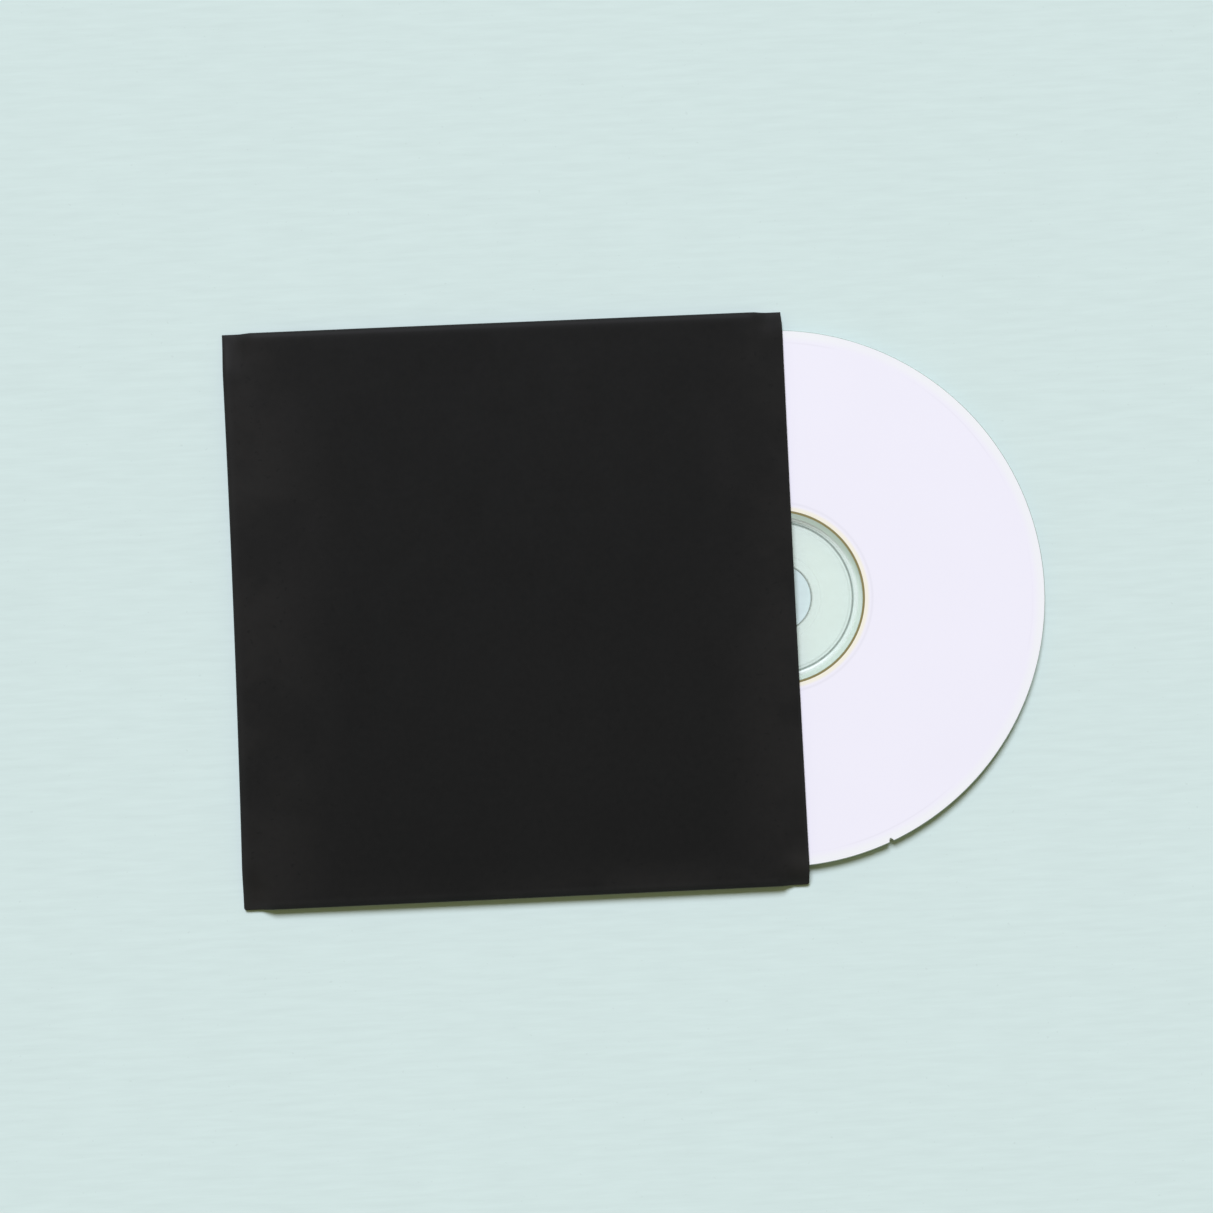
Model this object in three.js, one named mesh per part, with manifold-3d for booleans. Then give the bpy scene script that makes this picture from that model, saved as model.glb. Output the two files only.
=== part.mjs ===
// A square card sleeve for a 120 mm disc, with the disc drawn half way out of its open side.
// Sizes are in millimetres. The sleeve lies on its back panel: +Z is up, +X runs from the spine fold to the
// open mouth, and the origin is the middle of the back panel's outer face.
import * as THREE from "three";
import { mergeVertices } from "three/addons/utils/BufferGeometryUtils.js";
import Module from "manifold-3d";

const wasm = await Module();
wasm.setup();

// Driving dimensions of the disc
const discDiameter = 120;
const discThickness = 1.2;
const holeDiameter = 15;
const hubStepDiameter = 19.4; // the shallow recess round the centre hole, on top
const hubStepDepth = 0.06;
const ringDiameter = 35; // outside of the stacking ring below and of the moulding groove above
const ringWidth = 1.4;
const ringHeight = 0.2;
const ringSlope = 0.3; // how far each flank of the ring and the groove leans
const grooveDepth = 0.12;
const edgeBreak = 0.12; // the small chamfer at the rim and the hole
const nickDirection = -67.5; // degrees from +X to the small nick in the rim
const nickWidth = 1.1;
const nickDepth = 0.5;
const discSegments = 96;

// Driving dimensions of the card sheet and the room that it leaves round the disc
const sheet = 0.45; // thickness of the card
const spineBend = 1.2; // how far the spine's round turn reaches in from its outer line
const sideBend = 1.6; // the same for the two side folds
const foldFlat = 0.2; // share of a fold's height that stands upright at its outer line
const spineGap = 0.3; // from the spine's turn to the disc when it is fully in
const sideGap = 2.65; // from the side folds' turns to the disc's widest points
const mouthRoom = 4.5; // from the disc when it is fully in to the mouth
const seatGap = 0.3; // between the glue flaps and the disc above them
const headroom = 0.3; // between the disc and the front panel
const crown = 0.25; // how far the front panel bulges in its middle
const cornerGap = 1.6; // what is left of the pocket's height at the spine's two corners
const mouthDroop = 2; // how far the front panel comes down at the mouth's two corners
const mouthDroopRun = 6.5; // the length along the side folds over which it does so
const spineDroop = 1.9; // how far it comes down past the flaps' ends at the spine's two corners
const spineDroopRise = 10; // the length along the spine over which it does so
const backInset = 0.5; // from the side folds' outer lines in to the back panel's cut edges

// Driving dimensions of the two glue flaps
const flapDepth = 14;
const flapSpineGap = 6.5; // from the spine's outer line to the flap, along the fold
const flapMouthGap = 4.5; // from the mouth to the flap, along the fold
const flapTaper = 5; // how much shorter the flap is at each end of its free edge

// How far the photograph shows the disc drawn out, counted from fully in
const drawnOut = 60.2;

// Worked out from the dimensions above
const discRadius = discDiameter / 2;
const halfWidth = (spineBend + spineGap + discDiameter + mouthRoom) / 2; // along X
const halfHeight = discRadius + sideGap + sideBend; // along Y
const flapTop = 2 * sheet;
const discSeat = flapTop + seatGap;
const panelFlat = discSeat + discThickness + headroom + sheet; // top of the front panel over the disc's path
const discInX = -halfWidth + spineBend + spineGap + discRadius; // the disc's middle when it is fully in
const cornerDip = panelFlat - (flapTop + cornerGap + sheet);
// From the disc out to a spine corner
const cornerRun = Math.hypot(discInX + halfWidth, halfHeight) - discRadius;
const spineDroopRun = flapSpineGap - spineBend; // from the flaps' ends to the spine's turn

// Steps of the grids that the panels and the folds are drawn with
const panelStep = 8;
const bendSteps = 4;
const past = 1; // how far a cutting solid runs out past what it cuts
const lap = 0.05; // how far two cutting solids that meet run into each other

const cardMaterial = new THREE.MeshStandardMaterial({ color: 0x242424, roughness: 0.85, metalness: 0 });
const discMaterial = new THREE.MeshStandardMaterial({ color: 0xefedfb, roughness: 0.35, metalness: 0 });

// A closed solid from a geometry whose faces meet edge to edge.
function solidFrom(geometry) {
  const bare = geometry.clone();
  bare.deleteAttribute("normal");
  bare.deleteAttribute("uv");
  const merged = mergeVertices(bare, 1e-4);
  return new wasm.Manifold(
    new wasm.Mesh({
      numProp: 3,
      vertProperties: merged.attributes.position.array,
      triVerts: new Uint32Array(merged.index.array),
    }),
  );
}

// The named mesh of a solid.
function meshFrom(solid, name, material) {
  const { vertProperties, triVerts } = solid.getMesh();
  const geometry = new THREE.BufferGeometry();
  geometry.setAttribute("position", new THREE.BufferAttribute(vertProperties, 3));
  geometry.setIndex(new THREE.BufferAttribute(triVerts, 1));
  geometry.computeVertexNormals();
  const mesh = new THREE.Mesh(geometry, material);
  mesh.name = name;
  return mesh;
}

// 0 before a run starts, 1 after it ends, and a soft rise between.
function ease(distance, run) {
  return THREE.MathUtils.smoothstep(distance, 0, run);
}

// Share of its full height that a fold has at a distance in from its outer line.
function turn(inside, reach) {
  const out = THREE.MathUtils.clamp(1 - inside / reach, 0, 1);
  return foldFlat + (1 - foldFlat) * Math.sqrt(1 - out * out);
}

// Evenly spaced numbers from one end to the other, no more than a panel step apart, without the last.
function spread(from, to) {
  const count = Math.ceil(Math.abs(to - from) / panelStep);
  return Array.from({ length: count }, (_, i) => from + ((to - from) * i) / count);
}

// The start and the middle of a short run, without its end.
function halved(from, to) {
  return [from, (from + to) / 2];
}

// Distances in from a fold's outer line, close together where it turns most.
function bendStations(reach) {
  return Array.from({ length: bendSteps }, (_, i) => reach * (1 - Math.cos((i / bendSteps) * (Math.PI / 2))));
}

// Top of the front panel where it isn't bent: level over the disc's path, lower outside it.
function panelTop(x, y) {
  const bulge = (1 - (x / halfWidth) ** 2) * (1 - (y / halfHeight) ** 2);
  const offPath = Math.hypot(Math.min(x - discInX, 0), y) - discRadius;
  const clearOfDisc = ease(Math.abs(y) - discRadius, halfHeight - discRadius);
  const mouthEnd = mouthDroop * clearOfDisc * ease(x - halfWidth + mouthDroopRun, mouthDroopRun);
  const nearFold = ease(Math.abs(y) - halfHeight + spineDroopRise, spineDroopRise);
  const spineEnd = spineDroop * nearFold * ease(flapSpineGap - halfWidth - x, spineDroopRun);
  return panelFlat + crown * Math.max(bulge, 0) - cornerDip * ease(offPath, cornerRun) - mouthEnd - spineEnd;
}

// The height about which the folds turn.
function foldMiddle(x, y) {
  return (panelTop(x, y) + sheet) / 2;
}

// A solid between two height functions of (x, y), over the rectangle that the stations span.
function pillow(xs, ys, top, bottom) {
  const positions = [];
  for (const height of [top, bottom])
    for (const x of xs)
      for (const y of ys) positions.push(x, y, height(x, y));
  const under = xs.length * ys.length;
  const at = (i, j) => i * ys.length + j;
  const index = [];
  const quad = (a, b, c, d) => index.push(a, b, c, a, c, d);
  for (let i = 0; i + 1 < xs.length; i++)
    for (let j = 0; j + 1 < ys.length; j++) {
      quad(at(i, j), at(i + 1, j), at(i + 1, j + 1), at(i, j + 1));
      quad(under + at(i, j), under + at(i, j + 1), under + at(i + 1, j + 1), under + at(i + 1, j));
    }
  const lastRow = ys.length - 1;
  const lastColumn = xs.length - 1;
  for (let i = 0; i < lastColumn; i++) {
    quad(under + at(i, 0), under + at(i + 1, 0), at(i + 1, 0), at(i, 0));
    quad(at(i, lastRow), at(i + 1, lastRow), under + at(i + 1, lastRow), under + at(i, lastRow));
  }
  for (let j = 0; j < lastRow; j++) {
    quad(at(0, j), at(0, j + 1), under + at(0, j + 1), under + at(0, j));
    quad(under + at(lastColumn, j), under + at(lastColumn, j + 1), at(lastColumn, j + 1), at(lastColumn, j));
  }
  const geometry = new THREE.BufferGeometry();
  geometry.setAttribute("position", new THREE.Float32BufferAttribute(positions, 3));
  geometry.setIndex(index);
  return solidFrom(geometry);
}

// Stations along X from the spine's turn, a given distance in from its outer line, to the mouth or past it.
function stationsAlong(inset, end) {
  const bent = bendStations(spineBend - inset).map((d) => -halfWidth + inset + d);
  const flapsStart = -halfWidth + flapSpineGap;
  const droopStart = halfWidth - mouthDroopRun;
  const nearSpine = halved(-halfWidth + spineBend, flapsStart);
  return [...bent, ...nearSpine, ...spread(flapsStart, droopStart), ...halved(droopStart, halfWidth), end];
}

// Stations along Y, the same on both sides, with rows where the disc's path and the flaps end.
function stationsAcross(outer) {
  const inner = halfHeight - sideBend;
  const free = halfHeight - flapDepth;
  const droopEnd = halfHeight - spineDroopRise;
  const slope = [...spread(inner, discRadius), ...halved(discRadius, droopEnd), ...spread(droopEnd, free)];
  const half = [...outer, ...slope, ...spread(free, 0)];
  return [...half.map((y) => -y), 0, ...half.reverse()];
}

// The sheet's outer skin: the front panel with the turns of the spine and the side folds, and the back panel.
function sleeveOutside() {
  const across = stationsAcross(bendStations(sideBend).map((d) => halfHeight - d));
  const share = (x, y) => turn(x + halfWidth, spineBend) * turn(halfHeight - Math.abs(y), sideBend);
  const top = (x, y) => foldMiddle(x, y) + (panelTop(x, y) - foldMiddle(x, y)) * share(x, y);
  // Inside the folds the underside is sunk half way into the back panel, so that the two join.
  const floor = (y) => (Math.abs(y) < halfHeight - sideBend - 1e-6 ? sheet / 2 : sheet);
  const bottom = (x, y) => foldMiddle(x, y) - (foldMiddle(x, y) - floor(y)) * share(x, y);
  const front = pillow(stationsAlong(0, halfWidth), across, top, bottom);

  const backEdge = halfHeight - backInset;
  const backAcross = [-backEdge, ...across.filter((y) => Math.abs(y) < backEdge), backEdge];
  const spineShare = (x) => turn(x + halfWidth, spineBend);
  const at = (level) => (x, y) => foldMiddle(x, y) - (foldMiddle(x, y) - level) * spineShare(x);
  const back = pillow(stationsAlong(0, halfWidth), backAcross, at(sheet), at(0));
  return front.add(back);
}

// An upright prism over all that the flaps and their folds leave clear, a margin away from them.
function clearOfFlaps(margin) {
  const spineEnd = -halfWidth + flapSpineGap - margin;
  const mouthEnd = halfWidth - flapMouthGap + margin;
  const free = halfHeight - flapDepth - margin;
  const half = [
    [-halfWidth - past, halfHeight + past],
    [spineEnd, halfHeight + past],
    [spineEnd, halfHeight],
    [spineEnd + flapTaper, free],
    [mouthEnd - flapTaper, free],
    [mouthEnd, halfHeight],
    [mouthEnd, halfHeight + past],
    [halfWidth + 2 * past, halfHeight + past],
  ];
  const mirrored = half.map(([x, y]) => [x, -y]).reverse();
  const outline = new THREE.Shape([...half, ...mirrored].map(([x, y]) => new THREE.Vector2(x, y)));
  const depth = panelFlat + crown + 2 * past;
  return solidFrom(new THREE.ExtrudeGeometry(outline, { depth, bevelEnabled: false }).translate(0, 0, -past));
}

// All the room between the panels, as if there were no flaps: it runs out past the mouth and both sides.
function roomUnderPanel() {
  const outer = [halfHeight + past, ...bendStations(sideBend).map((d) => halfHeight - d)];
  const share = (x) => turn(x + halfWidth - sheet, spineBend - sheet);
  const sideShare = (y) => turn(halfHeight - Math.abs(y), sideBend);
  const rise = (x, y) => (panelTop(x, y) - foldMiddle(x, y)) * sideShare(y) - sheet;
  const top = (x, y) => foldMiddle(x, y) + rise(x, y) * share(x);
  const bottom = (x, y) => foldMiddle(x, y) - (foldMiddle(x, y) - sheet) * share(x);
  return pillow(stationsAlong(sheet, halfWidth + past), stationsAcross(outer), top, bottom);
}

// The room above the flaps and inside the side folds.
function roomOverFlaps() {
  const reach = sideBend - sheet;
  const outer = bendStations(reach).map((d) => halfHeight - sheet - d);
  const share = (x, y) =>
    turn(x + halfWidth - sheet, spineBend - sheet) * turn(halfHeight - sheet - Math.abs(y), reach);
  const top = (x, y) => foldMiddle(x, y) + (panelTop(x, y) - sheet - foldMiddle(x, y)) * share(x, y);
  const bottom = (x, y) => foldMiddle(x, y) - (foldMiddle(x, y) - flapTop) * share(x, y);
  return pillow(stationsAlong(sheet, halfWidth + past), stationsAcross(outer), top, bottom);
}

// The sleeve: one folded sheet, glued at its two flaps and open at the mouth.
function makeSleeve() {
  const solid = sleeveOutside()
    .subtract(roomOverFlaps().subtract(clearOfFlaps(lap)))
    .subtract(roomUnderPanel().intersect(clearOfFlaps(0)));
  return meshFrom(solid, "sleeve", cardMaterial);
}

// The disc's section from the hole to the rim and back: (radius, height), height 0 at its underside.
function discProfile() {
  const hole = holeDiameter / 2;
  const outer = ringDiameter / 2;
  const inner = outer - ringWidth;
  const hubTop = discThickness - hubStepDepth;
  const grooveFloor = discThickness - grooveDepth;
  const points = [
    [hole, edgeBreak],
    [hole + edgeBreak, 0],
    [inner, 0],
    [inner + ringSlope, -ringHeight],
    [outer - ringSlope, -ringHeight],
    [outer, 0],
    [discRadius - edgeBreak, 0],
    [discRadius, edgeBreak],
    [discRadius, discThickness - edgeBreak],
    [discRadius - edgeBreak, discThickness],
    [outer, discThickness],
    [outer - ringSlope, grooveFloor],
    [inner + ringSlope, grooveFloor],
    [inner, discThickness],
    [hubStepDiameter / 2, discThickness],
    [hubStepDiameter / 2 - edgeBreak, hubTop],
    [hole + edgeBreak, hubTop],
    [hole, hubTop - edgeBreak],
    [hole, edgeBreak],
  ];
  return points.map(([radius, height]) => new THREE.Vector2(radius, height));
}

// The disc, with the small nick in its rim.
function makeDisc() {
  const turned = solidFrom(new THREE.LatheGeometry(discProfile(), discSegments).rotateX(Math.PI / 2));
  const angle = THREE.MathUtils.degToRad(nickDirection);
  const radius = nickWidth / 2;
  const nickMiddle = discRadius - nickDepth + radius;
  const nick = new THREE.CylinderGeometry(radius, radius, discThickness + 2 * past, 12)
    .rotateX(Math.PI / 2)
    .translate(nickMiddle * Math.cos(angle), nickMiddle * Math.sin(angle), discThickness / 2);
  const mesh = meshFrom(turned.subtract(solidFrom(nick)), "disc", discMaterial);
  mesh.position.set(discInX + drawnOut, 0, discSeat);
  return mesh;
}

const sleeveWithDisc = new THREE.Group();
sleeveWithDisc.add(makeSleeve(), makeDisc());

export default sleeveWithDisc;
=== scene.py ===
# A square black card sleeve with a blank white disc drawn half way out of it, as looks over the packed
# model. Everything is in metres, in the packed model's own frame: the sleeve lies on its back panel,
# +Z is up, +X runs from the spine fold to the open mouth, and the origin is the middle of the back
# panel's outer face.
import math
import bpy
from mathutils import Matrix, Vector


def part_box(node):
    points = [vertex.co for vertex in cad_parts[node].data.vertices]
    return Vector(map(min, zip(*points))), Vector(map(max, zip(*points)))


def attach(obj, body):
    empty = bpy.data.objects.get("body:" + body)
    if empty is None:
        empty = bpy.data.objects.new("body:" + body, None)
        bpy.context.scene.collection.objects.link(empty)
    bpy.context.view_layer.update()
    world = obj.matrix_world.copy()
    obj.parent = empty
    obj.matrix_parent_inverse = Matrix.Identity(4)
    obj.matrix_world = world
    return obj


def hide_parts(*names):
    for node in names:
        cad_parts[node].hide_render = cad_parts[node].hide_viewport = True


bl_info = {
    "name": "Card sleeve with disc",
    "version": (1, 0, 0),
    "blender": (4, 5, 0),
    "location": "View3D > Sidebar > Sleeve",
    "description": "Builds a folded card sleeve, the disc in it and a plain studio stage",
    "category": "Object",
}

import bpy
from bpy.props import FloatProperty, FloatVectorProperty, IntProperty, PointerProperty
from bpy.types import Operator, Panel, PropertyGroup
from mathutils import Matrix, Vector, noise

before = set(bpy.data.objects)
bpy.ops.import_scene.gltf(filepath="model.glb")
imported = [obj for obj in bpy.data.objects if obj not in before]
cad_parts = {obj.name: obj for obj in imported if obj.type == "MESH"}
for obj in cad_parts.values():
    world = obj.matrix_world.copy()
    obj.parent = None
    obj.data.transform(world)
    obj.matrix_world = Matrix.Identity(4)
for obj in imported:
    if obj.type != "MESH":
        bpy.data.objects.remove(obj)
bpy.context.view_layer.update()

MM = 0.001
TURN = 2 * math.pi
SLEEVE_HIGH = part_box("sleeve")[1]
DISC_LOW, DISC_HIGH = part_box("disc")
DISC_MIDDLE = (DISC_LOW + DISC_HIGH) / 2
# Slack for comparing two lengths that rounding may part.
SLACK = 1e-9
# Vertices that agree to this many decimals of a metre are one.
SAME_PLACE = 8
# Distances in from the mouth's cut edge at which the sheet has its last mesh rows.
MOUTH_ROWS = tuple(d * MM for d in (1.2, 0.8, 0.5, 0.3, 0.15, 0.0))
# Mesh steps from the middle of the nick to each of its ends.
NICK_STEPS = 4
# The even steps round the disc stay this many half widths away from the nick's middle.
NICK_CLEAR = 1.6
# The nearest and the furthest that the camera sees.
CLIP = (0.01, 50.0)


def length(name, description, default):
    """A size in metres."""
    settings = {"default": default, "unit": "LENGTH", "precision": 5}
    return FloatProperty(name=name, description=description, **settings)


def share(name, description, default):
    """A number from 0 to 1."""
    settings = {"default": default, "min": 0.0, "max": 1.0, "subtype": "FACTOR"}
    return FloatProperty(name=name, description=description, **settings)


def number(name, description, default):
    """A plain number."""
    return FloatProperty(name=name, description=description, default=default)


def angle(name, description, degrees):
    """An angle, given in degrees and kept in radians."""
    return FloatProperty(name=name, description=description, default=math.radians(degrees), subtype="ANGLE")


def colour(name, description, default):
    """A linear colour."""
    settings = {"default": default, "size": 3, "min": 0.0, "max": 1.0, "subtype": "COLOR"}
    return FloatVectorProperty(name=name, description=description, **settings)


class SleeveSizes(PropertyGroup):
    """Sizes of the folded card sheet."""

    sheet: length("Card thickness", "Thickness of the card", 0.45 * MM)
    half_width: length("Half width", "Half of the way from spine to mouth", SLEEVE_HIGH.x)
    half_height: length("Half height", "Half of the way from fold to fold", SLEEVE_HIGH.y)
    spine_bend: length("Spine turn", "How far the spine's round turn reaches in", 1.2 * MM)
    side_bend: length("Side turn", "How far the turns of the two side folds reach in", 1.6 * MM)
    fold_flat: share("Fold flat", "Share of a fold's height that stands upright", 0.2)
    seat_gap: length("Seat gap", "Between the glue flaps and the disc", 0.3 * MM)
    headroom: length("Headroom", "Between the disc and the front panel", 0.3 * MM)
    spine_gap: length("Spine gap", "Between the spine's turn and the disc when it is fully in", 0.3 * MM)
    crown: length("Crown", "How far the front panel bulges in its middle", 0.25 * MM)
    corner_gap: length("Corner gap", "Height of the pocket by the spine's corners", 1.6 * MM)
    low_end: length("Low end", "How far in from spine and mouth the corners lie low", 3.4 * MM)
    low_run: length("Low run", "Length over which the panel rises from its low corners", 3.2 * MM)
    mouth_droop: length("Mouth droop", "How far the panel comes down at the mouth's corners", 2.0 * MM)
    spine_droop: length("Spine droop", "How far the panel comes down at the spine's corners", 1.9 * MM)
    spine_droop_rise: length("Spine droop rise", "Length of the spine's droop along the spine", 10 * MM)
    waves: length("Waves", "How far the card strays from its true form", 0.04 * MM)
    wave_size: length("Wave size", "Distance over which the card strays", 21 * MM)
    back_inset: length("Back inset", "From a side fold in to the back panel's cut edge", 0.5 * MM)
    flap_depth: length("Flap depth", "From a side fold to the flap's free edge", 14 * MM)
    flap_spine_gap: length("Flap spine gap", "From the spine to the flap along its fold", 6.5 * MM)
    flap_mouth_gap: length("Flap mouth gap", "From the mouth to the flap along its fold", 4.5 * MM)
    flap_taper: length("Flap taper", "How much shorter the free edge is at each end", 5 * MM)
    glue: length("Glue line", "Between a flap and the back panel", 0.02 * MM)
    spine_bow: length("Spine bow", "How far the spine bows in at its middle", 0.46 * MM)
    spine_skew: length("Spine skew", "How much further in the spine's lower end stands", 0.12 * MM)
    mouth_in: length("Mouth trim", "How far the mouth's two ends stand in on average", 0.24 * MM)
    mouth_bow: length("Mouth bow", "How far the mouth bows in at its middle", 0.18 * MM)
    mouth_skew: length("Mouth skew", "How much further in the mouth's upper end stands", 0.46 * MM)
    corner_round: length("Corner rounding", "Rounding of the two lower, worn corners", 0.55 * MM)
    cut_break: length("Cut edge break", "Rounding of the card's cut edges", 0.05 * MM)
    cut_angle: angle("Cut angle", "Edges that turn by more than this are cut edges", 60)
    panel_step: length("Panel step", "Spacing of the panels' mesh rows", 1.6 * MM)
    bend_steps: IntProperty(name="Turn steps", description="Mesh rows in a quarter turn", default=9, min=3)


class CardFinish(PropertyGroup):
    """Looks of the card."""

    black: colour("Black", "The card's face", (0.0061, 0.0056, 0.0053))
    rubbed: colour("Rubbed", "Where folds and edges are rubbed paler", (0.022, 0.022, 0.022))
    roughness: share("Roughness", "Mean roughness of the face", 0.66)
    specular: share("Specular", "Strength of the face's gloss", 0.09)
    spine_rub: length("Spine rub", "Width of the rubbed spine", 3.0 * MM)
    side_rub: length("Side rub", "Width of each rubbed side fold", 2.6 * MM)
    mouth_rub: length("Mouth rub", "Width of the rubbed mouth", 1.2 * MM)
    # Where the face is paler in patches: towards the spine, the mouth and the lower fold.
    left_pale_reach: length("Left pale reach", "How far paleness reaches in from the spine", 30 * MM)
    right_pale_reach: length("Right pale reach", "How far paleness reaches in from the mouth", 24 * MM)
    low_pale_reach: length("Low pale reach", "How far paleness reaches up from the lower fold", 10 * MM)
    low_blur: length("Low blur", "Width over which paleness fades by the lower fold", 12 * MM)
    # The lower corners are lighter by pale wear and by painted light that cancels the shade on their
    # drooping slopes.
    corner_long: length("Corner length", "How far the worn corners reach along the lower fold", 8 * MM)
    corner_high: length("Corner height", "How far the worn corners reach up", 10 * MM)
    corner_blur: length("Corner blur", "Width over which the worn corners fade", 6 * MM)
    tooth: length("Tooth", "Height of the fibres that the light catches", 0.04 * MM)


class DiscSizes(PropertyGroup):
    """Sizes of the disc and its coatings."""

    radius: length("Radius", "From the middle to the rim", 60 * MM)
    thickness: length("Thickness", "From the recording side to the printed side", 1.2 * MM)
    hole: length("Hole radius", "Radius of the centre hole", 7.5 * MM)
    hub_step: length("Hub step", "Radius of the shallow recess round the hole", 9.7 * MM)
    hub_step_depth: length("Hub step depth", "Depth of the hub's recess", 0.06 * MM)
    hub_step_slope: length("Hub step slope", "How far the wall of the hub's recess leans", 0.05 * MM)
    ring: length("Ring radius", "Outer radius of the stacking ring and of the groove", 17.5 * MM)
    ring_width: length("Ring width", "Width of the stacking ring and of the groove", 1.4 * MM)
    ring_height: length("Ring height", "Height of the stacking ring", 0.2 * MM)
    ring_slope: length("Ring slope", "How far the flanks of ring and groove lean", 0.3 * MM)
    groove_depth: length("Groove depth", "Depth of the groove", 0.12 * MM)
    edge: length("Edge rounding", "Rounding of the rim and the hole", 0.12 * MM)
    mirror_inner: length("Mirror inner radius", "Where the reflective layer starts", 19.1 * MM)
    mirror_outer: length("Mirror outer radius", "Where the reflective layer ends", 58.9 * MM)
    coat_inner: length("Coat inner radius", "Where the white coat starts", 19.6 * MM)
    coat_outer: length("Coat outer radius", "Where the white coat ends", 59.84 * MM)
    coat_room: length("Coat room", "Between the coat's outer edge and the moulding's lip", 0.01 * MM)
    lip_slope: length("Lip slope", "How far the lip outside the coat leans", 0.02 * MM)
    seat_room: length("Seat room", "Between the reflective layer and the wall inside it", 0.03 * MM)
    seat_slope: length("Seat slope", "How far the wall inside the reflective layer leans", 0.05 * MM)
    layer: length("Layer thickness", "Thickness of the reflective layer", 0.015 * MM)
    coat: length("Coat thickness", "Thickness of the white coat", 0.03 * MM)
    layer_gap: length("Layer gap", "Between two layers", 0.004 * MM)
    nick_angle: angle("Nick", "Direction of the nick in the rim from +X", -67.5)
    nick_half: length("Nick half width", "Half of the nick's width along the rim", 0.55 * MM)
    nick_depth: length("Nick depth", "Depth of the nick in the moulding", 0.5 * MM)
    nick_coat: length("Nick in the coat", "Depth of the nick in the white coat", 0.75 * MM)
    nick_run: length("Nick run", "Length from the rim inwards over which the rows are drawn in", 4 * MM)
    row_step: length("Row step", "Spacing of the disc's mesh rows from its middle outwards", 4 * MM)
    sharp: angle("Sharp angle", "Edges that turn by more than this stay sharp", 15)
    segments: IntProperty(name="Segments", description="Steps round the disc", default=288, min=32)


class DiscFinish(PropertyGroup):
    """Looks of the disc."""

    white: colour("White", "The printable coat", (0.865, 0.845, 0.95))
    band: colour("Band", "The paler band near the rim", (0.875, 0.885, 0.915))
    cream: colour("Cream", "The coat's thin inner edge", (0.90, 0.86, 0.75))
    mirror: colour("Mirror", "The reflective layer", (0.80, 0.80, 0.66))
    sheen: colour("Sheen", "The reflective layer where it looks bluer", (0.66, 0.76, 0.78))
    lead: colour("Lead rings", "The reflective layer's darker first and last rings", (0.42, 0.50, 0.50))
    olive: colour("Olive", "The reflective layer's bare inner edge", (0.24, 0.20, 0.08))
    clear: colour("Clear", "What the clear moulding lets through", (0.985, 0.968, 0.938))
    # Painted light: a pale veil that brightens the clear moulding in place of reflected light.
    light_veil: colour("Glow", "The moulding's own pale face", (0.90, 1.0, 0.94))
    # Painted shade: the colour of the dark lines at the ring's flanks, the hub's step and the hole's wall.
    flank_shade: colour("Flank", "The dark flanks of the ring and the hole's wall", (0.13, 0.17, 0.14))
    # Painted shade: the dark green-grey tint painted on the moulding's rim.
    rim: colour("Rim", "The moulding's rim", (0.36, 0.50, 0.44))
    # Painted light: the pale colour of the band between groove and coat, covering the coat's shadow seen
    # through it.
    bare: colour("Bare band", "The band between the groove and the coat", (0.64, 0.78, 0.68))
    bright: colour("Bright line", "The line of light on the groove's outer edge", (0.92, 1.0, 0.95))
    coat_full: length("Full coat radius", "Where the white coat is at its full colour", 20.9 * MM)
    coat_line: length("Coat line radius", "Where a faint grey line runs round the coat", 21.25 * MM)
    coat_band: length("Pale band radius", "Where the paler band at the rim starts", 57.9 * MM)
    lead_in: length("Lead-in radius", "Where the reflective layer's first darker ring is", 22.2 * MM)
    lead_out: length("Lead-out radius", "Where the reflective layer's last darker ring is", 58.4 * MM)
    bare_start: length("Bare band radius", "Where the band between groove and coat starts", 17.8 * MM)
    bands: number("Bands", "Faint bands in a metre of the reflective layer's radius", 700.0)
    film: number("Film", "Thickness of the reflective layer's colour film in nanometres", 320.0)
    film_ior: number("Film IOR", "Refraction of the colour film", 1.5)
    clear_ior: number("Moulding IOR", "Refraction of the clear moulding", 1.58)


class StageSettings(PropertyGroup):
    """Camera, light and floor."""

    lens: FloatProperty(name="Lens", description="Focal length", default=50.0, unit="CAMERA")
    sensor: FloatProperty(name="Sensor", description="Sensor width", default=36.0, unit="CAMERA")
    target: FloatVectorProperty(
        name="Target",
        description="Point on the floor that the camera looks at",
        default=(0.02052, -0.00028, 0.0),
        subtype="TRANSLATION",
    )
    distance: length("Distance", "From the target to the camera", 0.37795)
    lean: FloatVectorProperty(
        name="Lean",
        description="Tilts about X and Y and the roll of the camera, off straight down",
        default=(math.radians(-1.605), math.radians(0.763), math.radians(2.504)),
        subtype="EULER",
    )
    floor: colour("Floor", "The floor and what shows beyond it", (0.66, 0.79, 0.78))
    floor_dark: share("Floor streaks", "How light the floor's darkest streaks are beside the rest", 0.88)
    floor_half: length("Floor half", "Half of the floor's side", 6.0)
    key_angle: angle("Key size", "How wide the key lamp looks from the floor", 24)
    key_height: angle("Key height", "Height of the key lamp over the horizon", 50)
    key_turn: angle("Key turn", "Direction that the key lamp shines from, from +Y towards -X", 11)
    fill: colour("Fill", "Light from all round, to which the key lamp adds up to white", (0.21, 0.205, 0.10))


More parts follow.
